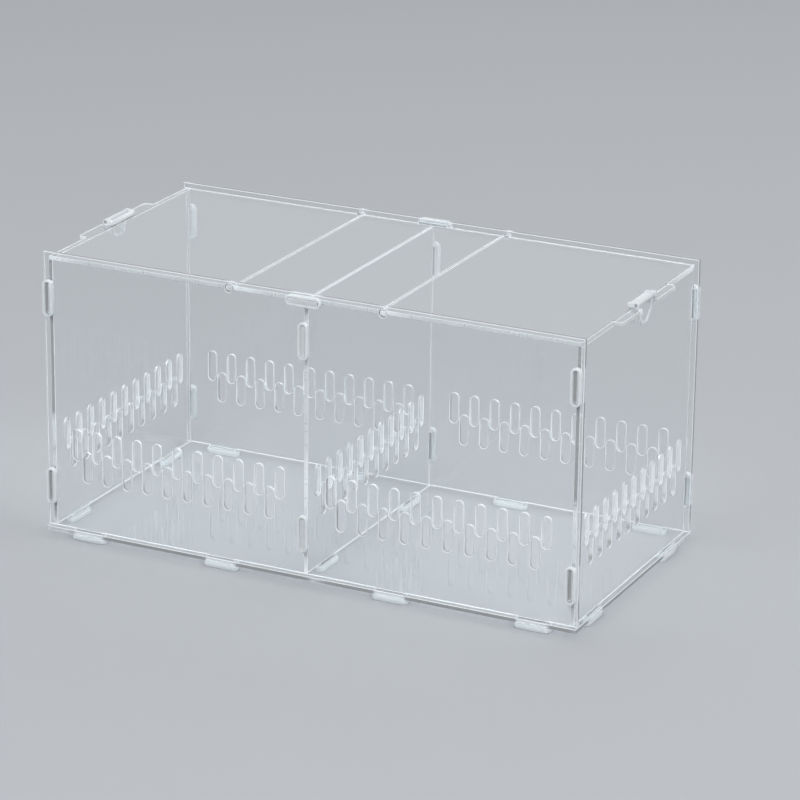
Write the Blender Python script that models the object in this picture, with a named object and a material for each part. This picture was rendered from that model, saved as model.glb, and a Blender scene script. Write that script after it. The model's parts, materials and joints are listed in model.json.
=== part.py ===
"""A clear acrylic enclosure with two chambers, in metres, standing on its ring feet at Z = 0.

Flat sheets lock together with tabs. Each tab passes through a slot and is held by a frosted ring.
The two doors in the roof turn on ears at their inner ends, and a small bail latch holds each one shut.
X runs along the length, Y from front to back.
"""
import math

import bmesh
import bpy

# The box and its sheet
LENGTH = 0.400
DEPTH = 0.200
HEIGHT = 0.205
SHEET = 0.003
PLATE_MARGIN = 0.0025  # how far the bottom plate reaches past the front and back panels
SIDE_INSET = 0.0045  # from the bottom plate's end to the middle of a side panel
FIT_GAP = 0.0003  # between two pieces that touch, and round a tab in its slot

# Tabs and the rings that lock them
TAB_LENGTH = 0.0215
TAB_RECESS = 0.0003  # a tab ends this far inside its ring
RING_WALL = 0.0021
RING_THICKNESS = 0.0037
FOOT_TAB_SHARES = (0.32, 0.84)  # of half the length, on the front and back panels
SIDE_FOOT_TAB_SHARE = 0.64  # of half the depth, on the side panels and the divider
EDGE_TAB_SHARES = (0.156, 0.866)  # of the side panels' height

# Vent slots, in two staggered rows
VENT_WIDTH = 0.0062
VENT_HEIGHT = 0.022
VENT_WEB = 0.00166  # sheet left between neighbouring slots
VENT_SILL = 0.0358  # from the bottom plate up to the lowest slots
VENT_ROW_STEP = 0.0154
VENT_END_MARGIN = 0.010  # least distance from the last slot to the chamber's wall

# Roof: a fixed bridge between two doors
ROOF_DROP = 0.0047  # from the panels' top edge down to the middle of the roof sheets
PIVOT_SPAN = 0.114  # between the two doors' axes
EAR_WIDTH = 0.004
EAR_CLEARANCE = 0.0005
DOOR_TAIL = 0.0022  # how far a door reaches past its axis, towards the bridge
DOOR_SIDE_GAP = 0.0005
TONGUE_LENGTH = 0.092
TONGUE_REACH = 0.0068  # past the side panel's outer face
TONGUE_CORNER = 0.004

# Bail latch at the middle of each tongue
PIN_RADIUS = 0.0008
SLEEVE_RADIUS = 0.0018
KNUCKLE_RADIUS = 0.002
KNUCKLE_LENGTH = 0.003
KNUCKLE_GAP = 0.0003  # between a knuckle and the bail's sleeve, along the pin
LATCH_BASE_WIDTH = 0.0038
LATCH_BASE_THICKNESS = 0.0018
LATCH_BASE_GAP = 0.0004  # between the base and the bail's sleeve
PIN_RECESS = 0.0002  # a pin ends this far inside its knuckles
BAIL_WIDTH = 0.023
BAIL_DROP = 0.0164  # from the pin's axis to the bail's lowest point
BAIL_FOOT_WIDTH = 0.009
BAIL_SHOULDER_SHARE = 0.45  # of the drop, where the bail's sides start to close in
BAIL_WIRE = 0.0018
BAIL_THICKNESS = 0.0016
BAIL_CORNER = 0.0028
NOTCH_CLEARANCE = 0.0015
NOTCH_FLOOR_GAP = 0.0006

# Catch knob on the side panel
KNOB_RADIUS = 0.0022
KNOB_PROUD = 0.0016
KNOB_EDGE = 0.0004
KNOB_SHANK_RADIUS = 0.0015
KNOB_TO_BAIL = 0.0006
KNOB_DROP = 0.0103  # below the pin's axis

# Fineness of the round parts, in steps, and the length that cutters run past what they cut
VENT_STEPS = 4
RING_STEPS = 8
CORNER_STEPS = 4
ROUND_STEPS = 24
HOLE_STEPS = 12
OVERRUN = 0.001

half_sheet = SHEET / 2
slot_length = TAB_LENGTH + 2 * FIT_GAP
slot_width = SHEET + 2 * FIT_GAP
ring_length = slot_length + 2 * RING_WALL
ring_width = slot_width + 2 * RING_WALL
tab_proud = RING_THICKNESS + FIT_GAP - TAB_RECESS

plate_low = RING_THICKNESS + FIT_GAP
plate_top = plate_low + SHEET
wall_low = plate_top + FIT_GAP
side_x = LENGTH / 2 - SIDE_INSET
side_outer = side_x + half_sheet
panel_y = DEPTH / 2 - PLATE_MARGIN - half_sheet
panel_inner = panel_y - half_sheet
panel_outer = panel_y + half_sheet

roof_z = HEIGHT - ROOF_DROP
roof_low = roof_z - half_sheet
roof_top = roof_z + half_sheet
side_top = roof_low - FIT_GAP
pivot_x = PIVOT_SPAN / 2
ear_corner = math.hypot(EAR_WIDTH / 2, half_sheet)
pivot_hole_radius = ear_corner + EAR_CLEARANCE
bridge_half = pivot_x - math.hypot(DOOR_TAIL, half_sheet) - EAR_CLEARANCE

pin_x = side_outer + KNOB_PROUD + KNOB_TO_BAIL + BAIL_THICKNESS / 2
pin_z = roof_top + FIT_GAP + KNUCKLE_RADIUS
sleeve_half = BAIL_WIDTH / 2 + BAIL_WIRE / 2
knuckle_inner = sleeve_half + KNUCKLE_GAP
knuckle_outer = knuckle_inner + KNUCKLE_LENGTH
notch_floor = pin_x - BAIL_THICKNESS / 2 - NOTCH_FLOOR_GAP
notch_half = BAIL_WIDTH / 2 + NOTCH_CLEARANCE
tongue_end = side_outer + TONGUE_REACH
knob_z = pin_z - KNOB_DROP

UP = (0, 0, 0)  # an outline that lies flat
FACING_FRONT = (math.pi / 2, 0, 0)  # its second axis turned up, seen from the front
FACING_SIDE = (math.pi / 2, 0, math.pi / 2)  # its first axis along Y, its second one up


def clear_scene():
    for item in list(bpy.data.objects):
        bpy.data.objects.remove(item, do_unlink=True)


def collection(name):
    made = bpy.data.collections.new(name)
    bpy.context.scene.collection.children.link(made)
    return made


def material(name, colour, roughness, transmission, metallic):
    made = bpy.data.materials.new(name)
    made.use_nodes = True
    made.diffuse_color = (*colour, 1)
    shader = made.node_tree.nodes["Principled BSDF"]
    shader.inputs["Base Color"].default_value = (*colour, 1)
    shader.inputs["Roughness"].default_value = roughness
    shader.inputs["Transmission Weight"].default_value = transmission
    shader.inputs["Metallic"].default_value = metallic
    return made


def acrylic(name):
    return material(name + "_acrylic", (0.93, 0.96, 0.97), 0.05, 0.95, 0)


def frosted(name):
    return material(name + "_frosted", (0.84, 0.88, 0.91), 0.5, 0.2, 0)


def steel(name):
    return material(name + "_steel", (0.6, 0.6, 0.62), 0.3, 0, 1)


def arc(centre, radius, start, end, steps):
    """Points round part of a circle, both ends included, angles in degrees."""
    points = []
    for i in range(steps + 1):
        angle = math.radians(start + (end - start) * i / steps)
        points.append((centre[0] + radius * math.cos(angle), centre[1] + radius * math.sin(angle)))
    return points


def circle(centre, radius, steps):
    return arc(centre, radius, 0, 360, steps)[:-1]


def box_outline(low, high):
    return [low, (high[0], low[1]), high, (low[0], high[1])]


def obround(centre, length, width, steps):
    """An upright outline with half-round ends."""
    radius = width / 2
    reach = length / 2 - radius
    top = arc((centre[0], centre[1] + reach), radius, 0, 180, steps)
    bottom = arc((centre[0], centre[1] - reach), radius, 180, 360, steps)
    return top + bottom


def lying(points):
    """The same outline turned a quarter, with its first axis where its second was."""
    return [(y, -x) for x, y in points]


def shifted(points, by):
    return [(x + by[0], y + by[1]) for x, y in points]


def slot(centre, upright):
    along = slot_length / 2
    across = slot_width / 2
    reach = (across, along) if upright else (along, across)
    return box_outline(
        (centre[0] - reach[0], centre[1] - reach[1]),
        (centre[0] + reach[0], centre[1] + reach[1]),
    )


def turned_right(points):
    """The outline with its points running anticlockwise."""
    area = sum(a[0] * b[1] - b[0] * a[1] for a, b in zip(points, points[1:] + points[:1]))
    return points if area > 0 else points[::-1]


def flat_piece(name, outline, holes, thickness, place, turn, surface):
    """A sheet cut to an outline with holes, as a filled curve that is as thick as the sheet."""
    shape = bpy.data.curves.new(name, "CURVE")
    shape.dimensions = "2D"
    shape.fill_mode = "BOTH"
    shape.extrude = thickness / 2
    for points in [turned_right(outline)] + [turned_right(hole) for hole in holes]:
        spline = shape.splines.new("POLY")
        spline.points.add(len(points) - 1)
        for point, (x, y) in zip(spline.points, points):
            point.co = (x, y, 0, 1)
        spline.use_cyclic_u = True
    shape.materials.append(surface)
    made = bpy.data.objects.new(name, shape)
    made.location = place
    made.rotation_euler = turn
    parts.objects.link(made)
    return made


def edge_with_tabs(start, end, out, tabs, reach):
    """Points along a straight edge from start to end, with tabs that stand out of it.

    start and end are corners, out is the outward direction, and tabs are distances along the edge.
    """
    length = math.dist(start, end)
    along = ((end[0] - start[0]) / length, (end[1] - start[1]) / length)
    points = [start]
    for middle in sorted(tabs):
        for step, height in ((-1, 0), (-1, reach), (1, reach), (1, 0)):
            walk = middle + step * TAB_LENGTH / 2
            x = start[0] + along[0] * walk + out[0] * height
            y = start[1] + along[1] * walk + out[1] * height
            points.append((x, y))
    return points


def vents(middle, room):
    """Two staggered rows of vent slots, centred in a chamber's wall of the given width."""
    pitch = 2 * (VENT_WIDTH + VENT_WEB)
    steps = int((room - 2 * VENT_END_MARGIN - VENT_WIDTH) / pitch)
    low_z = plate_top + VENT_SILL + VENT_HEIGHT / 2
    holes = []
    for count, z in ((steps, low_z), (steps + 1, low_z + VENT_ROW_STEP)):
        for i in range(count):
            x = middle + (i - (count - 1) / 2) * pitch
            holes.append(obround((x, z), VENT_HEIGHT, VENT_WIDTH, VENT_STEPS))
    return holes


def edge_tab_heights():
    return [wall_low + share * (side_top - wall_low) for share in EDGE_TAB_SHARES]


def foot_tab_places():
    return [sign * share * LENGTH / 2 for share in FOOT_TAB_SHARES for sign in (-1, 1)]


def side_foot_tab_places():
    return [sign * SIDE_FOOT_TAB_SHARE * DEPTH / 2 for sign in (-1, 1)]


def bottom_plate():
    holes = [slot((x, y), False) for x in foot_tab_places() for y in (-panel_y, panel_y)]
    holes += [slot((x, y), True) for x in (-side_x, 0, side_x) for y in side_foot_tab_places()]
    outline = box_outline((-LENGTH / 2, -DEPTH / 2), (LENGTH / 2, DEPTH / 2))
    middle = plate_low + half_sheet
    flat_piece("bottom_plate", outline, holes, SHEET, (0, 0, middle), UP, acrylic("bottom_plate"))


def long_panel(name, y):
    """The front or back panel, standing on the bottom plate."""
    half = LENGTH / 2
    tab_reach = wall_low - plate_low + tab_proud
    tabs = [x + half for x in foot_tab_places()]
    outline = edge_with_tabs((-half, wall_low), (half, wall_low), (0, -1), tabs, tab_reach)
    outline += [(half, wall_low), (half, HEIGHT), (-half, HEIGHT)]
    holes = [slot((x, z), True) for x in (-side_x, 0, side_x) for z in edge_tab_heights()]
    holes.append(slot((0, roof_z), False))
    holes += [circle((x, roof_z), pivot_hole_radius, HOLE_STEPS) for x in (-pivot_x, pivot_x)]
    room = side_x - SHEET
    for sign in (-1, 1):
        holes += vents(sign * side_x / 2, room)
    flat_piece(name, outline, holes, SHEET, (0, y, 0), FACING_FRONT, acrylic(name))


def cross_panel(name, x, has_knob):
    """A side panel or the divider, with tabs on its front, back and bottom edges."""
    half = panel_inner - FIT_GAP
    edge_reach = panel_outer - half + tab_proud
    foot_reach = wall_low - plate_low + tab_proud
    rises = [z - wall_low for z in edge_tab_heights()]
    falls = [side_top - z for z in edge_tab_heights()]
    feet = [y + half for y in side_foot_tab_places()]
    outline = edge_with_tabs((-half, wall_low), (half, wall_low), (0, -1), feet, foot_reach)
    outline += edge_with_tabs((half, wall_low), (half, side_top), (1, 0), rises, edge_reach)
    outline += [(half, side_top)]
    outline += edge_with_tabs((-half, side_top), (-half, wall_low), (-1, 0), falls, edge_reach)
    holes = vents(0, 2 * panel_inner)
    if has_knob:
        holes.append(circle((0, knob_z), KNOB_SHANK_RADIUS + FIT_GAP, HOLE_STEPS))
    flat_piece(name, outline, holes, SHEET, (x, 0, 0), FACING_SIDE, acrylic(name))


def top_bridge():
    half_y = panel_inner - FIT_GAP
    reach = panel_outer - half_y + tab_proud
    corner = (bridge_half, -half_y)
    low = edge_with_tabs((-bridge_half, -half_y), corner, (0, -1), [bridge_half], reach) + [corner]
    high = [(-x, -y) for x, y in low]
    flat_piece("top_bridge", low + high, [], SHEET, (0, 0, roof_z), UP, acrylic("top_bridge"))


def tongue_half():
    """The tongue's outline from the door's outer edge to the notch, on the positive Y side."""
    corner = (tongue_end - TONGUE_CORNER, TONGUE_LENGTH / 2 - TONGUE_CORNER)
    points = [(notch_floor, notch_half), (tongue_end, notch_half)]
    points += arc(corner, TONGUE_CORNER, 0, 90, CORNER_STEPS)
    points.append((side_outer, TONGUE_LENGTH / 2))
    return points


def door(name, side):
    """A roof door: its outline is drawn for the right side about its axis, and mirrored by side."""
    half_y = panel_inner - DOOR_SIDE_GAP
    ear_x = EAR_WIDTH / 2
    tongue = shifted(tongue_half(), (-pivot_x, 0))
    upper = tongue + [
        (side_outer - pivot_x, half_y),
        (ear_x, half_y),
        (ear_x, panel_outer),
        (-ear_x, panel_outer),
        (-ear_x, half_y),
        (-DOOR_TAIL, half_y),
    ]
    lower = [(x, -y) for x, y in reversed(upper)]
    outline = [(side * x, y) for x, y in upper + lower]
    flat_piece(name, outline, [], SHEET, (side * pivot_x, 0, roof_z), UP, acrylic(name))


def ring(name, place, turn, upright):
    """A frosted locking ring round the end of a tab."""
    outline = obround((0, 0), ring_length, ring_width, RING_STEPS)
    hole = slot((0, 0), True)
    if not upright:
        outline = lying(outline)
        hole = lying(hole)
    flat_piece(name, outline, [hole], RING_THICKNESS, place, turn, frosted(name))


def wall_rings():
    """The rings on the front and back faces."""
    offset = panel_outer + FIT_GAP + RING_THICKNESS / 2
    columns = (("left", -side_x), ("middle", 0), ("right", side_x))
    rows = zip(("lower", "upper"), edge_tab_heights())
    heights = list(rows)
    for face, y in (("front", -offset), ("back", offset)):
        for column, x in columns:
            for row, z in heights:
                ring(f"{face}_ring_{column}_{row}", (x, y, z), FACING_FRONT, True)
        ring(f"{face}_ring_bridge", (0, y, roof_z), FACING_FRONT, False)


def foot_rings():
    """The rings under the bottom plate, which carry the box."""
    z = RING_THICKNESS / 2
    for face, y in (("front", -panel_y), ("back", panel_y)):
        for number, x in enumerate(sorted(foot_tab_places()), 1):
            ring(f"foot_ring_{face}_{number}", (x, y, z), UP, False)
    for column, x in (("left", -side_x), ("middle", 0), ("right", side_x)):
        for row, y in zip(("near", "far"), side_foot_tab_places()):
            ring(f"foot_ring_{column}_{row}", (x, y, z), UP, True)


def mesh_piece(name, bm, place, surface, group):
    shape = bpy.data.meshes.new(name)
    bmesh.ops.recalc_face_normals(bm, faces=bm.faces)
    bm.to_mesh(shape)
    bm.free()
    if surface:
        shape.materials.append(surface)
    made = bpy.data.objects.new(name, shape)
    made.location = place
    group.objects.link(made)
    return made


def prism(bm, outline, low, high):
    """Adds an outline in the XZ plane, extruded along Y from low to high."""
    face = bm.faces.new([bm.verts.new((x, low, z)) for x, z in outline])
    grown = bmesh.ops.extrude_face_region(bm, geom=[face])
    moved = [item for item in grown["geom"] if isinstance(item, bmesh.types.BMVert)]
    bmesh.ops.translate(bm, vec=(0, high - low, 0), verts=moved)


def prism_piece(name, outline, low, high, place, group, surface=None):
    bm = bmesh.new()
    prism(bm, outline, low, high)
    return mesh_piece(name, bm, place, surface, group)


def boolean(target, tool, operation):
    step = target.modifiers.new(operation.lower(), "BOOLEAN")
    step.operation = operation
    step.object = tool
    step.solver = "EXACT"
    tool.hide_render = True
    tool.display_type = "WIRE"


def smooth(made):
    made.data.shade_smooth()
    made.data.set_sharp_from_angle(angle=math.radians(40))


def latch_plate(name, side, place):
    """The latch's base on the door, with a knuckle at each end, drawn about the pin's axis."""
    base_outer = -side * (SLEEVE_RADIUS + LATCH_BASE_GAP)
    base_inner = base_outer - side * LATCH_BASE_WIDTH
    low = -KNUCKLE_RADIUS
    top = low + LATCH_BASE_THICKNESS
    base = box_outline((base_inner, low), (base_outer, top))
    made = prism_piece(name, base, -knuckle_outer, knuckle_outer, place, parts, frosted(name))
    crown = arc((0, 0), KNUCKLE_RADIUS, 0, 180, HOLE_STEPS)
    crown = [(side * x, z) for x, z in crown]
    cheek = [(side * KNUCKLE_RADIUS, low)] + crown[:-1] + [(base_inner, top), (base_inner, low)]
    bore_reach = knuckle_outer + OVERRUN
    for end, start in (("near", -knuckle_outer), ("far", knuckle_inner)):
        tool = prism_piece(f"{name}_{end}_knuckle", cheek, start, start + KNUCKLE_LENGTH, place, cutters)
        boolean(made, tool, "UNION")
    bore = circle((0, 0), PIN_RADIUS + FIT_GAP, HOLE_STEPS)
    tool = prism_piece(f"{name}_bore", bore, -bore_reach, bore_reach, place, cutters)
    boolean(made, tool, "DIFFERENCE")
    smooth(made)


def latch_pin(name, place):
    reach = knuckle_outer - PIN_RECESS
    made = prism_piece(name, circle((0, 0), PIN_RADIUS, HOLE_STEPS), -reach, reach, place, parts, steel(name))
    smooth(made)


def bail_outline(inset):
    """The bail's hanging loop in Y and Z, wide at the pin and narrow at its rounded foot."""
    half = BAIL_WIDTH / 2 - inset
    foot = BAIL_FOOT_WIDTH / 2 - inset
    bottom = -BAIL_DROP + inset
    shoulder = -BAIL_SHOULDER_SHARE * BAIL_DROP
    corner = BAIL_CORNER - inset
    lean = math.degrees(math.atan2(half - foot, shoulder - bottom))
    rounded = arc((foot - corner * math.tan(math.radians(lean / 2)), bottom + corner), corner, -90, -lean, CORNER_STEPS)
    right = rounded + [(half, shoulder), (half, 0)]
    return right + [(-y, z) for y, z in reversed(right)]


def latch_bail(name, place):
    """The bail: a sleeve on the pin and a flat loop that hangs from it."""
    bore = circle((0, 0), PIN_RADIUS + FIT_GAP, HOLE_STEPS)
    sleeve = circle((0, 0), SLEEVE_RADIUS, ROUND_STEPS)
    made = prism_piece(name, sleeve, -sleeve_half, sleeve_half, place, parts, frosted(name))
    loop = flat_piece(
        f"{name}_loop", bail_outline(0), [bail_outline(BAIL_WIRE)], BAIL_THICKNESS, place, FACING_SIDE, None
    )
    boolean(made, as_mesh(loop), "UNION")
    tool = prism_piece(f"{name}_bore", bore, -sleeve_half - OVERRUN, sleeve_half + OVERRUN, place, cutters)
    boolean(made, tool, "DIFFERENCE")
    smooth(made)


def as_mesh(curve_piece):
    """A filled curve made a closed mesh, kept as a cutter."""
    bpy.context.view_layer.update()
    graph = bpy.context.evaluated_depsgraph_get()
    shape = bpy.data.meshes.new_from_object(curve_piece.evaluated_get(graph))
    bm = bmesh.new()
    bm.from_mesh(shape)
    bmesh.ops.remove_doubles(bm, verts=bm.verts, dist=FIT_GAP / 100)
    bmesh.ops.recalc_face_normals(bm, faces=bm.faces)
    bm.to_mesh(shape)
    bm.free()
    made = bpy.data.objects.new(curve_piece.name, shape)
    made.matrix_world = curve_piece.matrix_world
    cutters.objects.link(made)
    bpy.data.objects.remove(curve_piece, do_unlink=True)
    return made


def catch_knob(name, side):
    """A turned knob outside the side panel, with a shank that fills the panel's hole."""
    face = FIT_GAP
    head = KNOB_PROUD
    profile = (
        (0, head),
        (KNOB_RADIUS - KNOB_EDGE, head),
        (KNOB_RADIUS, head - KNOB_EDGE),
        (KNOB_RADIUS, face),
        (KNOB_SHANK_RADIUS, face),
        (KNOB_SHANK_RADIUS, -SHEET),
        (0, -SHEET),
    )
    bm = bmesh.new()
    points = [bm.verts.new((radius, 0, height)) for radius, height in profile]
    for first, second in zip(points, points[1:]):
        bm.edges.new((first, second))
    bmesh.ops.spin(
        bm, geom=bm.verts[:] + bm.edges[:], cent=(0, 0, 0), axis=(0, 0, 1),
        angle=2 * math.pi, steps=ROUND_STEPS, use_merge=True,
    )
    bmesh.ops.remove_doubles(bm, verts=bm.verts, dist=FIT_GAP / 100)
    made = mesh_piece(name, bm, (side * side_outer, 0, knob_z), frosted(name), parts)
    made.rotation_euler = (0, side * math.pi / 2, 0)
    smooth(made)


def latch(word, side):
    place = (side * pin_x, 0, pin_z)
    latch_plate(f"{word}_latch_plate", side, place)
    latch_pin(f"{word}_latch_pin", place)
    latch_bail(f"{word}_latch_bail", place)
    catch_knob(f"{word}_catch_knob", side)


clear_scene()
parts = collection("spider_enclosure")
cutters = collection("cutters")
bottom_plate()
long_panel("front_panel", -panel_y)
long_panel("back_panel", panel_y)
cross_panel("left_side_panel", -side_x, True)
cross_panel("right_side_panel", side_x, True)
cross_panel("divider_panel", 0, False)
top_bridge()
door("left_door", -1)
door("right_door", 1)
wall_rings()
foot_rings()
latch("left", -1)
latch("right", 1)
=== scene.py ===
import json
import math

import bmesh
import bpy
from mathutils import Matrix, Quaternion, Vector

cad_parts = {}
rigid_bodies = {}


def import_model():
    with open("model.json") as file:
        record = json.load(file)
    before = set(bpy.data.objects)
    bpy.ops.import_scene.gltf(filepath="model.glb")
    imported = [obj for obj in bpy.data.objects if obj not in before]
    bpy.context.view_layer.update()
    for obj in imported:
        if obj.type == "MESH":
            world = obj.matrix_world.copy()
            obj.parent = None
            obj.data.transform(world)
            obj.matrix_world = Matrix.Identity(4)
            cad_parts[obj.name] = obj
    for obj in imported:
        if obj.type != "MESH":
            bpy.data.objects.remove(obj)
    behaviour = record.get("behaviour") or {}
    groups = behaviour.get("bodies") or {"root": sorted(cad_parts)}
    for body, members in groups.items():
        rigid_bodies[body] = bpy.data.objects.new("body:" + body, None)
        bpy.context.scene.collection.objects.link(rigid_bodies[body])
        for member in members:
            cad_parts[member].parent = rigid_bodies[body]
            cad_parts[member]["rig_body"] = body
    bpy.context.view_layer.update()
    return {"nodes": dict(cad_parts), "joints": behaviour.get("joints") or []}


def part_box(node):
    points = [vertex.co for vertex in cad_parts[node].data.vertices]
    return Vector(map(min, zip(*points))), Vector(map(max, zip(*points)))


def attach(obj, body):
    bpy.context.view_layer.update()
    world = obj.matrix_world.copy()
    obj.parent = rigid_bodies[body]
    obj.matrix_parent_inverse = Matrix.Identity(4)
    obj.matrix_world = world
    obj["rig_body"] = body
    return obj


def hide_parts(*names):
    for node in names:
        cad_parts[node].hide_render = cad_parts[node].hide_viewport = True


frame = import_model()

# A clear acrylic enclosure for a spider: cut sheets, moulded locking rings and two small latches.
# Every piece is made at the place of its CAD node and stands for it. Lengths are in metres.

nodes = frame["nodes"]
jointPlace = {joint["name"]: Vector(joint["pos_m"]) for joint in frame["joints"]}


def low(node):
    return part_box(node)[0]


def high(node):
    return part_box(node)[1]


def middle(node):
    return (low(node) + high(node)) / 2


def addObject(name, data):
    made = bpy.data.objects.new(name, data)
    bpy.context.scene.collection.objects.link(made)
    return made


def meshFrom(bm, name):
    mesh = bpy.data.meshes.new(name)
    bm.to_mesh(mesh)
    bm.free()
    return mesh


def newMaterial(name, values):
    # the values go on the Principled shader's own sockets
    material = bpy.data.materials.new(name)
    material.use_nodes = True
    shader = material.node_tree.nodes["Principled BSDF"]
    for socket, value in values.items():
        shader.inputs[socket].default_value = value
    return material, material.node_tree, shader


def mixShaders(tree, factor, first, second, output):
    # the first shader where the factor is 0, the second where it is 1
    mix = tree.nodes.new("ShaderNodeMixShader")
    tree.links.new(factor, mix.inputs[0])
    tree.links.new(first.outputs[0], mix.inputs[1])
    tree.links.new(second.outputs[0], mix.inputs[2])
    tree.links.new(mix.outputs[0], output.inputs["Surface"])


# Camera, floor and light

view = {
    "azimuth": 26.1,  # degrees round from the front, towards the right
    "elevation": 19.39,
    "roll": 0.67,
    "distance": 2.5216,
    "lens": 166.0,  # millimetres, as the sensor is
    "sensor": 36,
    "clip": (0.05, 50),
    "target": (0.0213, 0.0022, 0.104),
}


def aimCamera():
    turn = math.radians(view["azimuth"])
    rise = math.radians(view["elevation"])
    roll = Quaternion((0, 0, 1), math.radians(view["roll"]))
    back = Vector((math.sin(turn) * math.cos(rise), -math.cos(turn) * math.cos(rise), math.sin(rise)))
    data = bpy.data.cameras.new("camera")
    data.lens = view["lens"]
    data.sensor_width = view["sensor"]
    data.clip_start, data.clip_end = view["clip"]
    camera = addObject("camera", data)
    camera.rotation_mode = "QUATERNION"
    camera.location = Vector(view["target"]) + back * view["distance"]
    camera.rotation_quaternion = (-back).to_track_quat("-Z", "Y") @ roll
    bpy.context.scene.camera = camera


studio = {
    "background": (0.62, 0.64, 0.67),
    "floorColour": (0.45, 0.465, 0.485),
    "floorRoughness": 0.85,
    "floorShine": 0.15,
    "floorSize": 12.0,
    "worldColour": (0.96, 0.98, 1),
    "worldLight": 0.55,
    "lamps": (  # name, place, width, height, watts
        ("overhead", (-0.3, 0.3, 3.0), 3.0, 3.0, 8),
        ("front", (0.5, -2.6, 2.1), 2.6, 1.2, 34),
        ("left", (-2.0, -0.4, 1.9), 1.4, 0.9, 9),
        ("right", (2.2, -0.5, 1.9), 1.6, 1.0, 22),
        ("behind", (0.2, 1.9, 2.2), 1.8, 0.9, 11),
    ),
}


def makeFloor():
    bm = bmesh.new()
    bmesh.ops.create_grid(bm, x_segments=1, y_segments=1, size=studio["floorSize"] / 2)
    floor = addObject("floor", meshFrom(bm, "floor"))
    material = newMaterial("floor", {
        "Base Color": (*studio["floorColour"], 1),
        "Roughness": studio["floorRoughness"],
        "Specular IOR Level": studio["floorShine"],
    })[0]
    floor.data.materials.append(material)


def hangLamps():
    aim = Vector(view["target"])
    for name, place, width, height, watts in studio["lamps"]:
        data = bpy.data.lights.new(name, "AREA")
        data.shape = "RECTANGLE"
        data.size = width
        data.size_y = height
        data.energy = watts
        lamp = addObject(name, data)
        lamp.location = place
        lamp.rotation_mode = "QUATERNION"
        lamp.rotation_quaternion = (aim - Vector(place)).to_track_quat("-Z", "Y")


def lightWorld():
    # the background is what the camera, mirrors and clear sheets see; everything else gets the light
    world = bpy.data.worlds.new("studio")
    bpy.context.scene.world = world
    world.use_nodes = True
    tree = world.node_tree
    light = tree.nodes["Background"]
    light.inputs["Color"].default_value = (*studio["worldColour"], 1)
    light.inputs["Strength"].default_value = studio["worldLight"]
    seen = tree.nodes.new("ShaderNodeBackground")
    seen.inputs["Color"].default_value = (*studio["background"], 1)
    ray = tree.nodes.new("ShaderNodeLightPath")
    sees = ray.outputs["Is Camera Ray"]
    for kind in ("Is Glossy Ray", "Is Transmission Ray"):
        either = tree.nodes.new("ShaderNodeMath")
        either.operation = "MAXIMUM"
        tree.links.new(sees, either.inputs[0])
        tree.links.new(ray.outputs[kind], either.inputs[1])
        sees = either.outputs[0]
    mixShaders(tree, sees, light, seen, tree.nodes["World Output"])


aimCamera()
makeFloor()
hangLamps()
lightWorld()
bpy.context.scene.view_settings.view_transform = "Standard"
print("camera, floor and light are set")


# Materials

planes = {  # how a sheet lies: its turn from the XY plane, and the axis it is thin along
    "flat": (Matrix.Identity(4), 2),
    "facingFront": (Matrix(((1, 0, 0, 0), (0, 0, -1, 0), (0, 1, 0, 0), (0, 0, 0, 1))), 1),
    "facingSide": (Matrix(((0, 0, 1, 0), (1, 0, 0, 0), (0, 1, 0, 0), (0, 0, 0, 1))), 0),
}

acrylic = {  # a finish is transmission and roughness, a bump is strength and distance
    "ior": 1.49,
    "clearColour": (0.985, 0.994, 0.998),
    "clearRoughness": (0.0, 0.015),
    "hazePerMetre": 60,
    "hazeDetail": 4,
    "ripplesPerMetre": 9,
    "rippleBump": (0.01, 0.002),
    "cutColour": (0.95, 0.98, 1.0),
    "cutFinish": (0.65, (0.08, 0.18)),
    "milledFinish": (0.35, (0.25, 0.45)),
    "ventFinish": (0.56, (0.05, 0.12)),
    "strokesPerMetre": 750,  # the strokes that the cutting leaves across an edge
    "strokeStretch": 0.02,
    "strokeDetail": 3,
    "strokeBump": (0.6, 0.001),
    # near white on clear acrylic: the broken corners' white lines are a painted highlight
    "arrisHighlightColour": (0.91, 0.935, 0.95),
    "arrisTransmission": 0.1,
    "arrisRoughness": 0.3,
    "nickBump": (0.5, 0.001),
    "shadowOfFace": (0.97, 0.98, 0.985),
    "shadowOfCut": (0.45, 0.48, 0.5),
}

frosted = {
    "colour": (0.84, 0.92, 0.985),
    "cloud": (0.9, 0.955, 1.0),
    "cloudsPerMetre": 90,
    "cloudDetail": 3,
    "ior": 1.5,
    "transmission": 0.2,
    "depthShare": 0.7,
    "lightDepth": 0.003,
    "roughness": (0.3, 0.46),
    "grainPerMetre": 2600,
    "grainDetail": 1,
    "grainBump": (0.3, 0.00015),
}

steel = {
    "colour": (0.62, 0.63, 0.65),
    "roughness": (0.2, 0.36),
    "linesPerMetre": 3000,
    "lineStretch": (1, 0.02, 1),
}

usualNoise = (0.3, 0.7)  # most values of a noise lie between these


def noise(tree, perMetre, stretch=(1, 1, 1), detail=2.0):
    # a noise on Object coordinates, stretched along the axes where the factor is small
    spot = tree.nodes.new("ShaderNodeTexCoord")
    mapping = tree.nodes.new("ShaderNodeMapping")
    mapping.inputs["Scale"].default_value = [perMetre * share for share in stretch]
    grain = tree.nodes.new("ShaderNodeTexNoise")
    grain.inputs["Scale"].default_value = 1
    grain.inputs["Detail"].default_value = detail
    tree.links.new(spot.outputs["Object"], mapping.inputs["Vector"])
    tree.links.new(mapping.outputs[0], grain.inputs["Vector"])
    return grain.outputs["Fac"]


def ranged(tree, source, limits, into):
    # spreads a noise between two limits
    spread = tree.nodes.new("ShaderNodeMapRange")
    sockets = ("From Min", "From Max", "To Min", "To Max")
    for socket, value in zip(sockets, (*usualNoise, *limits)):
        spread.inputs[socket].default_value = value
    tree.links.new(source, spread.inputs["Value"])
    tree.links.new(spread.outputs[0], into)


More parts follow.
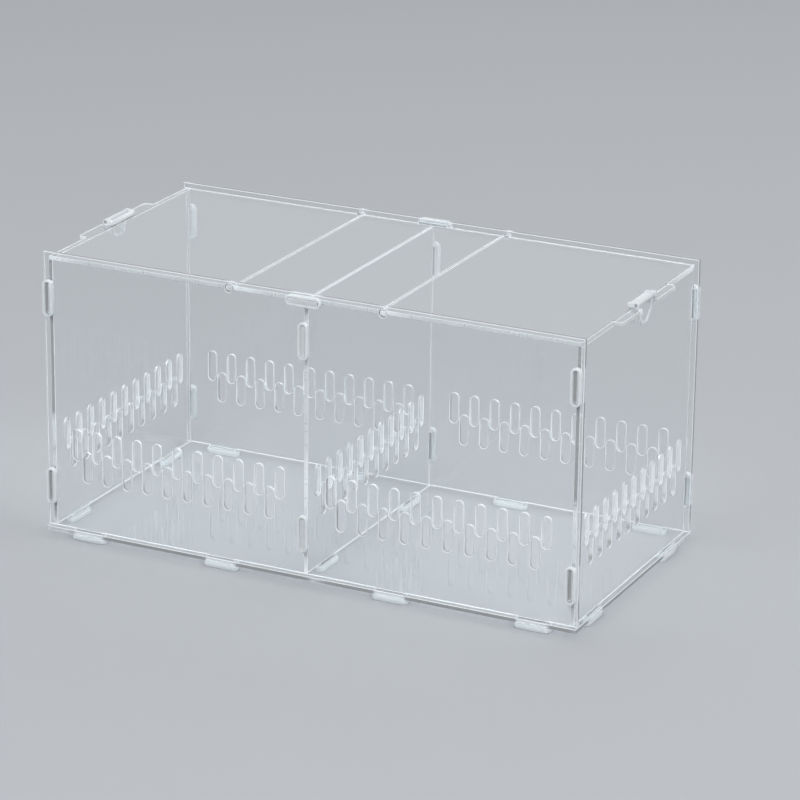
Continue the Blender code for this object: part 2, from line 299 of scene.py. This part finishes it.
def bump(tree, source, form, shader):
    lift = tree.nodes.new("ShaderNodeBump")
    lift.inputs["Strength"].default_value, lift.inputs["Distance"].default_value = form
    tree.links.new(source, lift.inputs["Height"])
    tree.links.new(lift.outputs[0], shader.inputs["Normal"])


def letLampsThrough(tree, shader, tint):
    # lamps shine through the sheet with a little loss
    ray = tree.nodes.new("ShaderNodeLightPath")
    clear = tree.nodes.new("ShaderNodeBsdfTransparent")
    clear.inputs["Color"].default_value = (*tint, 1)
    mixShaders(tree, ray.outputs["Is Shadow Ray"], shader, clear, tree.nodes["Material Output"])


def clearMaterial(name):
    material, tree, shader = newMaterial(name, {
        "Base Color": (*acrylic["clearColour"], 1),
        "Transmission Weight": 1,
        "IOR": acrylic["ior"],
    })
    haze = noise(tree, acrylic["hazePerMetre"], detail=acrylic["hazeDetail"])
    ranged(tree, haze, acrylic["clearRoughness"], shader.inputs["Roughness"])
    bump(tree, noise(tree, acrylic["ripplesPerMetre"]), acrylic["rippleBump"], shader)
    letLampsThrough(tree, shader, acrylic["shadowOfFace"])
    return material


def cutMaterial(name, thinAxis, transmission, roughness):
    # a cut edge, part clear and part matt, with strokes across its thickness
    material, tree, shader = newMaterial(name, {
        "Base Color": (*acrylic["cutColour"], 1),
        "Transmission Weight": transmission,
        "IOR": acrylic["ior"],
    })
    stretch = [1, 1, 1]
    stretch[thinAxis] = acrylic["strokeStretch"]
    strokes = noise(tree, acrylic["strokesPerMetre"], stretch, acrylic["strokeDetail"])
    ranged(tree, strokes, roughness, shader.inputs["Roughness"])
    bump(tree, strokes, acrylic["strokeBump"], shader)
    letLampsThrough(tree, shader, acrylic["shadowOfCut"])
    return material


def edgeMaterials(kind, lies):
    # the material of one kind of cut edge, for each way that a sheet with it lies
    finish = acrylic[kind + "Finish"]
    return {plane: cutMaterial(f"{kind}_edge_{plane}", planes[plane][1], *finish) for plane in lies}


def highlightArrisMaterial(name):
    # the narrow broken corner between a face and a cut edge, coloured near white and almost opaque so
    # that it shows as a white line: a painted highlight along every edge
    material, tree, shader = newMaterial(name, {
        "Base Color": (*acrylic["arrisHighlightColour"], 1),
        "Transmission Weight": acrylic["arrisTransmission"],
        "IOR": acrylic["ior"],
        "Roughness": acrylic["arrisRoughness"],
    })
    nicks = noise(tree, acrylic["strokesPerMetre"], detail=acrylic["strokeDetail"])
    bump(tree, nicks, acrylic["nickBump"], shader)
    letLampsThrough(tree, shader, acrylic["shadowOfCut"])
    return material


def frostedMaterial(name):
    # milky plastic, with faint clouds in its colour and a fine grain
    material, tree, shader = newMaterial(name, {
        "Transmission Weight": frosted["transmission"],
        "IOR": frosted["ior"],
        "Subsurface Weight": frosted["depthShare"],
        "Subsurface Radius": (1, 1, 1),
        "Subsurface Scale": frosted["lightDepth"],
    })
    clouds = noise(tree, frosted["cloudsPerMetre"], detail=frosted["cloudDetail"])
    mix = tree.nodes.new("ShaderNodeMix")
    mix.data_type = "RGBA"
    mix.inputs["A"].default_value = (*frosted["colour"], 1)
    mix.inputs["B"].default_value = (*frosted["cloud"], 1)
    ranged(tree, clouds, (0, 1), mix.inputs["Factor"])
    tree.links.new(mix.outputs["Result"], shader.inputs["Base Color"])
    grain = noise(tree, frosted["grainPerMetre"], detail=frosted["grainDetail"])
    ranged(tree, grain, frosted["roughness"], shader.inputs["Roughness"])
    bump(tree, grain, frosted["grainBump"], shader)
    return material


def steelMaterial(name):
    # wire with the lines of its drawing along Y
    material, tree, shader = newMaterial(name, {"Base Color": (*steel["colour"], 1), "Metallic": 1})
    lines = noise(tree, steel["linesPerMetre"], steel["lineStretch"])
    ranged(tree, lines, steel["roughness"], shader.inputs["Roughness"])
    return material


clearSheet = clearMaterial("clear_acrylic")
cutEdge = edgeMaterials("cut", planes)
ventEdge = edgeMaterials("vent", planes)
milledEdge = edgeMaterials("milled", ("flat", "facingSide"))
highlightArris = highlightArrisMaterial("arris")
milky = frostedMaterial("milky_plastic")
pinSteel = steelMaterial("pin_steel")
print("materials are made")


# Shaping helpers

corners = ((1, 1), (-1, 1), (-1, -1), (1, -1))  # anticlockwise
weld = 1e-6

# a cap's or a face's normal is at least this much along the thin axis, and a wall's at most this much
facing = {"cap": 0.9, "face": 0.99, "wall": 0.01}


def only(kind, items):
    return [item for item in items if isinstance(item, kind)]


def everything(bm):
    return bm.verts[:] + bm.edges[:] + bm.faces[:]


def joinUp(bm, verts, closed=False):
    # edges from each vertex to the next one
    ends = verts[1:] + verts[:1] if closed else verts[1:]
    for first, second in zip(verts, ends):
        bm.edges.new((first, second))


def polygon(bm, points):
    joinUp(bm, [bm.verts.new((x, y, 0)) for x, y in points], closed=True)


def roundTurn(bm, start, centre, degrees, steps):
    # spins a vertex round a centre in the plane and gives the last vertex
    made = bmesh.ops.spin(
        bm, geom=[start], cent=(*centre, 0), axis=(0, 0, 1), angle=math.radians(degrees), steps=steps
    )
    return only(bmesh.types.BMVert, made["geom_last"])[0]


def roundLoop(bm, centre, width, height, corner, steps):
    # a closed loop with four round corners, anticlockwise; the corner may be half the width
    x, y = width / 2 - corner, height / 2 - corner
    last = None
    first = None
    for i, (sx, sy) in enumerate(corners):
        spot = (centre[0] + sx * x, centre[1] + sy * y)
        angle = math.radians(90 * i)
        start = bm.verts.new((spot[0] + corner * math.cos(angle), spot[1] + corner * math.sin(angle), 0))
        end = roundTurn(bm, start, spot, 90, steps)
        if last:
            bm.edges.new((last, start))
        first = first or start
        last = end
    bm.edges.new((last, first))


def fillLoops(bm):
    bmesh.ops.remove_doubles(bm, verts=bm.verts, dist=weld)
    bmesh.ops.triangle_fill(bm, use_beauty=True, edges=bm.edges[:], normal=(0, 0, 1))


def thicken(bm, thickness, radius, steps):
    # gives a flat region its thickness about the plane, with edges rounded to the radius
    # one step makes a chamfer
    core = thickness / 2 - radius
    bmesh.ops.translate(bm, verts=bm.verts[:], vec=(0, 0, -core))
    sides = bmesh.ops.extrude_face_region(bm, geom=bm.faces[:])
    bmesh.ops.translate(bm, verts=only(bmesh.types.BMVert, sides["geom"]), vec=(0, 0, 2 * core))
    bmesh.ops.recalc_face_normals(bm, faces=bm.faces[:])
    for side in (1, -1):
        caps = [face for face in bm.faces if face.normal.z * side > facing["cap"]]
        before = 0.0
        for i in range(1, steps + 1):
            angle = math.pi / 2 * i / steps
            inward = radius * (math.cos(before) - math.cos(angle))
            upward = radius * (math.sin(angle) - math.sin(before))
            bmesh.ops.inset_region(
                bm, faces=caps, thickness=inward, depth=upward, use_boundary=True, use_even_offset=True
            )
            before = angle


def sharpEdges(bm, degrees):
    least = math.radians(degrees)
    return [edge for edge in bm.edges if edge.is_manifold and edge.calc_face_angle() > least]


def bevelEdges(bm, edges, width, segments):
    bmesh.ops.bevel(
        bm, geom=edges, offset=width, offset_type="OFFSET", segments=segments, profile=0.5,
        affect="EDGES", clamp_overlap=True, material=-1,
    )


def bevelVerts(bm, verts, width, segments):
    bmesh.ops.bevel(
        bm, geom=verts, offset=width, segments=segments, profile=0.5, affect="VERTICES", material=-1
    )


def makePiece(bm, making, node, turn, place, materials, smoothAngle):
    # writes the shape at its place in the frame, and lets it stand for the node and ride on its body
    bmesh.ops.transform(bm, matrix=Matrix.Translation(place) @ turn, verts=bm.verts[:])
    if turn.determinant() < 0:
        bmesh.ops.reverse_faces(bm, faces=bm.faces[:])
    name = f"{making}_{node}"
    mesh = meshFrom(bm, name)
    mesh.shade_smooth()
    mesh.set_sharp_from_angle(angle=math.radians(smoothAngle))
    for material in materials:
        mesh.materials.append(material)
    piece = addObject(name, mesh)
    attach(piece, nodes[node]["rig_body"])
    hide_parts(node)


# Sheets, cut with tabs, slots, vents and round holes

sheet = {
    "thickness": 0.003,
    "gap": 0.0003,
    "chamfer": 0.0003,
    "arcSteps": 8,
    "pivotHole": 0.003,
    "knobHole": 0.0018,
    "holeSegments": 32,
    "smoothAngle": 30,
}
tab = {"length": 0.0215}
vent = {
    "width": 0.0062,
    "height": 0.022,
    "web": 0.00166,
    "sill": 0.0358,
    "rowStep": 0.0154,
    "endMargin": 0.010,
}

plateTop = high("bottom_plate").z
wallLow = plateTop + sheet["gap"]
sideX = middle("right_side_panel").x
panelInner = low("back_panel").y
roofZ = middle("top_bridge").z
edgeTabRises = [middle("front_ring_left_" + row).z for row in ("lower", "upper")]
longFeet = [middle(f"foot_ring_front_{i}").x for i in (1, 2, 3, 4)]
crossFeet = [middle("foot_ring_middle_" + row).y for row in ("near", "far")]


def isNear(spot, centre):
    # whether a wall's place belongs to the vent at the centre
    return abs(spot.x - centre[0]) < vent["width"] and abs(spot.y - centre[1]) < vent["height"] / 2


def assignMaterials(bm, vents):
    # 0 is a sheet's face, 1 a cut edge, 2 a broken corner, near white as a painted highlight, and 3 a
    # vent's wall
    for face in bm.faces:
        along = abs(face.normal.z)
        face.material_index = 0 if along > facing["face"] else 1 if along < facing["wall"] else 2
        spot = face.calc_center_median()
        if along < facing["wall"] and any(isNear(spot, centre) for centre in vents):
            face.material_index = 3


def cutSheet(node, plane, outline, slots=(), holes=(), vents=(), edge=None):
    # slots are (centre, upright), holes are (centre, radius) and vents are centres, in the sheet's plane
    bm = bmesh.new()
    polygon(bm, outline)
    long, short = tab["length"] + 2 * sheet["gap"], sheet["thickness"] + 2 * sheet["gap"]
    for (x, y), upright in slots:
        width, height = (short, long) if upright else (long, short)
        polygon(bm, [(x + sx * width / 2, y + sy * height / 2) for sx, sy in corners])
    for (x, y), radius in holes:
        place = Matrix.Translation((x, y, 0))
        bmesh.ops.create_circle(bm, segments=sheet["holeSegments"], radius=radius, matrix=place)
    for centre in vents:
        roundLoop(bm, centre, vent["width"], vent["height"], vent["width"] / 2, sheet["arcSteps"])
    fillLoops(bm)
    thicken(bm, sheet["thickness"], sheet["chamfer"], 1)
    assignMaterials(bm, vents)
    turn, thin = planes[plane]
    place = Vector((0, 0, 0))
    place[thin] = middle(node)[thin]
    materials = (clearSheet, edge or cutEdge[plane], highlightArris, ventEdge[plane])
    makePiece(bm, "cut", node, turn, place, materials, sheet["smoothAngle"])


def edgeWithTabs(start, end, out, tabs, reach):
    # points along a straight edge, with tabs that stand out of it at distances from its start
    length = math.dist(start, end)
    along = ((end[0] - start[0]) / length, (end[1] - start[1]) / length)
    points = [start]
    for place in sorted(tabs):
        for step, height in ((-1, 0), (-1, reach), (1, reach), (1, 0)):
            walk = place + step * tab["length"] / 2
            points.append(tuple(start[i] + along[i] * walk + out[i] * height for i in (0, 1)))
    return points


def ventPlaces(centre, room):
    # two staggered rows of vents in a wall of the given width
    pitch = 2 * (vent["width"] + vent["web"])
    count = int((room - 2 * vent["endMargin"] - vent["width"]) / pitch)
    lowest = plateTop + vent["sill"] + vent["height"] / 2
    return [
        (centre + (i - (number - 1) / 2) * pitch, rise)
        for number, rise in ((count, lowest), (count + 1, lowest + vent["rowStep"]))
        for i in range(number)
    ]


def makeBottomPlate():
    a, b = low("bottom_plate"), high("bottom_plate")
    outline = [(a.x, a.y), (b.x, a.y), (b.x, b.y), (a.x, b.y)]
    slots = []
    for name in nodes:
        if name.startswith("foot_ring"):
            size = high(name) - low(name)
            slots.append(((middle(name).x, middle(name).y), size.y > size.x))
    cutSheet("bottom_plate", "flat", outline, slots)


def makeLongPanel(face):
    node = face + "_panel"
    a, b = low(node), high(node)
    feet = [x - a.x for x in longFeet]
    outline = edgeWithTabs((a.x, wallLow), (b.x, wallLow), (0, -1), feet, wallLow - a.z)
    outline += [(b.x, wallLow), (b.x, b.z), (a.x, b.z)]
    slots = [((x, z), True) for x in (-sideX, 0, sideX) for z in edgeTabRises]
    slots.append(((0, roofZ), False))
    pivots = [jointPlace[name + "_door_hinge"].x for name in ("left", "right")]
    holes = [((x, roofZ), sheet["pivotHole"]) for x in pivots]
    room = sideX - sheet["thickness"]
    vents = ventPlaces(-sideX / 2, room) + ventPlaces(sideX / 2, room)
    cutSheet(node, "facingFront", outline, slots, holes, vents)


def makeCrossPanel(node, knob=None):
    # the divider has no knob, and its edges are milled
    a, b = low(node), high(node)
    half = panelInner - sheet["gap"]
    top = b.z
    reach = b.y - half
    feet = [y + half for y in crossFeet]
    rises = [z - wallLow for z in edgeTabRises]
    falls = [top - z for z in edgeTabRises]
    outline = edgeWithTabs((-half, wallLow), (half, wallLow), (0, -1), feet, wallLow - a.z)
    outline += edgeWithTabs((half, wallLow), (half, top), (1, 0), rises, reach)
    outline += [(half, top)]
    outline += edgeWithTabs((-half, top), (-half, wallLow), (-1, 0), falls, reach)
    holes = [((0, middle(knob).z), sheet["knobHole"])] if knob else []
    edge = None if knob else milledEdge["facingSide"]
    vents = ventPlaces(0, 2 * panelInner)
    cutSheet(node, "facingSide", outline, holes=holes, vents=vents, edge=edge)


def makeBridge():
    a, b = low("top_bridge"), high("top_bridge")
    half = panelInner - sheet["gap"]
    corner = (b.x, -half)
    side = edgeWithTabs((a.x, -half), corner, (0, -1), [b.x], b.y - half) + [corner]
    outline = side + [(-x, -y) for x, y in side]
    cutSheet("top_bridge", "flat", outline, edge=milledEdge["flat"])


# Doors, with ears at the inner end and a tongue past the side panel

door = {
    "earWidth": 0.004,
    "tail": 0.0022,
    "sideGap": 0.0005,
    "tongueLength": 0.092,
    "tongueCorner": 0.004,
    "cornerSteps": 8,
    "notchHalf": 0.013,
    "notchFloor": 0.1986,
}


def makeDoor(word, side):
    # drawn as the right door's far half, and mirrored for the rest
    node = word + "_door"
    tip = abs(low(node).x if side < 0 else high(node).x)
    pivot = abs(jointPlace[word + "_door_hinge"].x)
    outer = high("right_side_panel").x
    ear = door["earWidth"] / 2
    half = panelInner - door["sideGap"]
    reach = high(node).y
    corner = door["tongueCorner"]
    wide = door["tongueLength"] / 2
    upper = [(door["notchFloor"], door["notchHalf"]), (tip, door["notchHalf"])]
    for i in range(door["cornerSteps"] + 1):
        angle = math.pi / 2 * i / door["cornerSteps"]
        upper.append((tip - corner + corner * math.cos(angle), wide - corner + corner * math.sin(angle)))
    upper += [(outer, wide), (outer, half), (pivot + ear, half), (pivot + ear, reach)]
    upper += [(pivot - ear, reach), (pivot - ear, half), (pivot - door["tail"], half)]
    outline = [(side * x, y) for x, y in upper] + [(side * x, -y) for x, y in reversed(upper)]
    cutSheet(node, "flat", outline, edge=milledEdge["flat"])


makeBottomPlate()
makeLongPanel("front")
makeLongPanel("back")
makeCrossPanel("left_side_panel", "left_catch_knob")
makeCrossPanel("right_side_panel", "right_catch_knob")
makeCrossPanel("divider_panel")
makeBridge()
makeDoor("left", -1)
makeDoor("right", 1)
print("sheets are cut")


# Locking rings

ringForm = {
    "sideWall": 0.0021,
    "endWall": 0.00175,
    "holeCorner": 0.0014,
    "edge": 0.0007,
    "edgeSteps": 4,
    "arcSteps": 10,
    "holeSteps": 5,
    "smoothAngle": 50,
}


def makeRing(node):
    size = high(node) - low(node)
    thin = min(range(3), key=lambda axis: size[axis])
    turn = next(turn for turn, axis in planes.values() if axis == thin)
    local = turn.to_3x3().transposed() @ size
    width, height = abs(local.x), abs(local.y)
    walls = (ringForm["endWall"], ringForm["sideWall"])
    across, along = walls if width > height else walls[::-1]
    hole = (width - 2 * across, height - 2 * along)
    bm = bmesh.new()
    roundLoop(bm, (0, 0), width, height, min(width, height) / 2, ringForm["arcSteps"])
    roundLoop(bm, (0, 0), *hole, ringForm["holeCorner"], ringForm["holeSteps"])
    fillLoops(bm)
    thicken(bm, size[thin], ringForm["edge"], ringForm["edgeSteps"])
    makePiece(bm, "moulded", node, turn, middle(node), (milky,), ringForm["smoothAngle"])


for name in nodes:
    if "_ring" in name:
        makeRing(name)
print("rings are moulded")


# Latches, each with a plate, a pin, a hanging bail and a catch knob

latchSmoothAngle = 40


def outwards(side, plane):
    # a drawing's turn, with X mirrored on the left side
    return Matrix.Diagonal((side, 1, 1, 1)) @ planes[plane][0]


def moved(made, bm, offset):
    # moves what an extrusion made, and gives its faces
    bmesh.ops.translate(bm, verts=only(bmesh.types.BMVert, made["geom"]), vec=offset)
    return only(bmesh.types.BMFace, made["geom"])


plateForm = {
    "knuckleRadius": 0.002,
    "knuckleLength": 0.003,
    "sleeveGap": 0.0022,  # from the pin's axis to the plate
    "middleTop": 0.0004,  # above the pin's axis
    "cheekTop": 0.0012,
    "bore": 0.0011,
    "boreSegments": 20,
    "arcSteps": 9,
    "edge": 0.00032,
    "edgeSteps": 3,
    "sharpAngle": 35,
    "flatAngle": 1,
    "mirrorWeld": 1e-5,
}


def makeLatchPlate(word, side):
    # half of it is drawn from its end towards the middle, and mirrored
    node = word + "_latch_plate"
    pin = jointPlace[word + "_bail_swing"]
    half = high(node).y
    inner = -max(abs(pin.x - low(node).x), abs(pin.x - high(node).x))
    bottom = low(node).z - pin.z
    radius, gap, top = plateForm["knuckleRadius"], -plateForm["sleeveGap"], plateForm["middleTop"]
    crest = (inner, plateForm["cheekTop"])
    lean = math.atan2(crest[1], crest[0]) - math.acos(radius / math.hypot(*crest))
    bm = bmesh.new()
    start = bm.verts.new((radius, 0, 0))
    end = roundTurn(bm, start, (0, 0), math.degrees(lean), plateForm["arcSteps"])
    cheek = [bm.verts.new((x, y, 0)) for x, y in (crest, (inner, bottom), (radius, bottom))]
    joinUp(bm, [end, *cheek, start])
    bmesh.ops.create_circle(bm, segments=plateForm["boreSegments"], radius=plateForm["bore"])
    fillLoops(bm)
    for spot, normal in (((gap, 0, 0), (1, 0, 0)), ((0, top, 0), (0, 1, 0))):
        bmesh.ops.bisect_plane(bm, geom=everything(bm), plane_co=spot, plane_no=normal)
    bmesh.ops.translate(bm, verts=bm.verts[:], vec=(0, 0, half))
    knuckle = bmesh.ops.extrude_face_region(bm, geom=bm.faces[:])
    faces = moved(knuckle, bm, (0, 0, -plateForm["knuckleLength"]))
    base = [f for f in faces if f.calc_center_median().x < gap and f.calc_center_median().y < top]
    web = bmesh.ops.extrude_face_region(bm, geom=base)
    ends = moved(web, bm, (0, 0, plateForm["knuckleLength"] - half))
    bmesh.ops.delete(bm, geom=base + ends, context="FACES")
    bmesh.ops.mirror(bm, geom=everything(bm), axis="Z", merge_dist=plateForm["mirrorWeld"])
    flat = math.radians(plateForm["flatAngle"])
    bmesh.ops.dissolve_limit(bm, angle_limit=flat, verts=bm.verts[:], edges=bm.edges[:])
    bmesh.ops.recalc_face_normals(bm, faces=bm.faces[:])
    bevelEdges(bm, sharpEdges(bm, plateForm["sharpAngle"]), plateForm["edge"], plateForm["edgeSteps"])
    makePiece(bm, "moulded", node, outwards(side, "facingFront"), pin, (milky,), latchSmoothAngle)


pinForm = {"radius": 0.0008, "segments": 24, "edge": 0.00025, "edgeSteps": 3, "sharpAngle": 60}


def makeLatchPin(word):
    node = word + "_latch_pin"
    length = high(node).y - low(node).y
    radius = pinForm["radius"]
    bm = bmesh.new()
    bmesh.ops.create_cone(
        bm, cap_ends=True, segments=pinForm["segments"], radius1=radius, radius2=radius, depth=length
    )
    bevelEdges(bm, sharpEdges(bm, pinForm["sharpAngle"]), pinForm["edge"], pinForm["edgeSteps"])
    makePiece(bm, "drawn", node, planes["facingFront"][0], middle(node), (pinSteel,), latchSmoothAngle)


bailForm = {
    "width": 0.023,
    "footWidth": 0.009,
    "shoulderShare": 0.45,
    "shoulderBend": 0.0015,
    "bendSteps": 4,
    "corner": 0.0028,
    "cornerSteps": 6,
    "wire": 0.0018,
    "thickness": 0.0016,
    "edge": 0.0005,
    "edgeSteps": 3,
    "sleeve": 0.0018,
    "sleeveSegments": 32,
    "sleeveEdge": 0.00025,
    "seat": 0.0013,  # how far under the pin's axis the loop enters the sleeve
}


def bailOutline(bm, inset, drop):
    # one outline of the loop, from its right end down round the foot and up to its left end
    half, foot = bailForm["width"] / 2 - inset, bailForm["footWidth"] / 2 - inset
    bottom = inset - drop
    shoulder = -bailForm["shoulderShare"] * drop
    seat = -bailForm["seat"]
    corner = bailForm["corner"] - inset
    lean = math.atan2(half - foot, shoulder - bottom)
    x, y = foot - corner * math.tan(lean / 2), bottom + corner
    turn = math.degrees(lean) - 90
    fall = [bm.verts.new((half, height, 0)) for height in (seat, shoulder)]
    fall.append(bm.verts.new((x + corner * math.cos(lean), y - corner * math.sin(lean), 0)))
    footRight = roundTurn(bm, fall[-1], (x, y), turn, bailForm["cornerSteps"])
    joinUp(bm, fall)
    footLeft = bm.verts.new((-x, bottom, 0))
    joinUp(bm, [footRight, footLeft])
    end = roundTurn(bm, footLeft, (-x, y), turn, bailForm["cornerSteps"])
    rise = [end] + [bm.verts.new((-half, height, 0)) for height in (shoulder, seat)]
    joinUp(bm, rise)
    bevelVerts(bm, [fall[1], rise[1]], bailForm["shoulderBend"], bailForm["bendSteps"])
    return fall[0], rise[2]


def shellObject(bm, name, turn):
    bmesh.ops.transform(bm, matrix=turn, verts=bm.verts[:])
    bmesh.ops.recalc_face_normals(bm, faces=bm.faces[:])
    return addObject(name, meshFrom(bm, name))


def united(first, second):
    # joins two closed shells into one, and gives it as a bmesh
    step = first.modifiers.new("union", "BOOLEAN")
    step.operation = "UNION"
    step.object = second
    bpy.context.view_layer.update()
    graph = bpy.context.evaluated_depsgraph_get()
    bm = bmesh.new()
    bm.from_object(first, graph)
    for made in (first, second):
        bpy.data.objects.remove(made, do_unlink=True)
    return bm


def makeBail(word):
    # a flat loop that hangs from a sleeve on the pin
    node = word + "_latch_bail"
    pin = jointPlace[word + "_bail_swing"]
    drop = pin.z - low(node).z
    loop = bmesh.new()
    outer = bailOutline(loop, 0, drop)
    inner = bailOutline(loop, bailForm["wire"], drop)
    for pair in zip(outer, inner):
        loop.edges.new(pair)
    fillLoops(loop)
    thicken(loop, bailForm["thickness"], bailForm["edge"], bailForm["edgeSteps"])
    sleeve = bmesh.new()
    for radius in (bailForm["sleeve"], plateForm["bore"]):
        bmesh.ops.create_circle(sleeve, segments=bailForm["sleeveSegments"], radius=radius)
    fillLoops(sleeve)
    thicken(sleeve, 2 * high(node).y, bailForm["sleeveEdge"], bailForm["edgeSteps"])
    shell = united(
        shellObject(sleeve, "sleeve", planes["facingFront"][0]),
        shellObject(loop, "loop", planes["facingSide"][0]),
    )
    makePiece(shell, "moulded", node, Matrix.Identity(4), pin, (milky,), latchSmoothAngle)


knobForm = {
    "radius": 0.0022,
    "proud": 0.0016,
    "crown": 0.0002,
    "edge": 0.0006,
    "edgeSteps": 4,
    "shank": 0.0015,
    "steps": 40,
}


def makeKnob(word, side):
    # turned about X: a head outside the side panel, and a shank through it
    node = word + "_catch_knob"
    a, b = low(node), high(node)
    head, radius, shank, gap = knobForm["proud"], knobForm["radius"], knobForm["shank"], sheet["gap"]
    deep = b.x - a.x - head
    profile = [(0, head), (radius, head - knobForm["crown"]), (radius, gap)]
    profile += [(shank, gap), (shank, -deep), (0, -deep)]
    bm = bmesh.new()
    points = [bm.verts.new((x, 0, z)) for x, z in profile]
    joinUp(bm, points)
    bevelVerts(bm, points[1:2], knobForm["edge"], knobForm["edgeSteps"])
    bmesh.ops.spin(
        bm, geom=bm.verts[:] + bm.edges[:], cent=(0, 0, 0), axis=(0, 0, 1),
        angle=2 * math.pi, steps=knobForm["steps"], use_merge=True,
    )
    bmesh.ops.remove_doubles(bm, verts=bm.verts, dist=weld)
    bmesh.ops.recalc_face_normals(bm, faces=bm.faces[:])
    face = a.x + deep if side > 0 else b.x - deep
    place = Vector((face, 0, middle(node).z))
    makePiece(bm, "turned", node, outwards(side, "facingSide"), place, (milky,), latchSmoothAngle)


for word, side in (("left", -1), ("right", 1)):
    makeLatchPlate(word, side)
    makeLatchPin(word)
    makeBail(word)
    makeKnob(word, side)
print("latches are made")
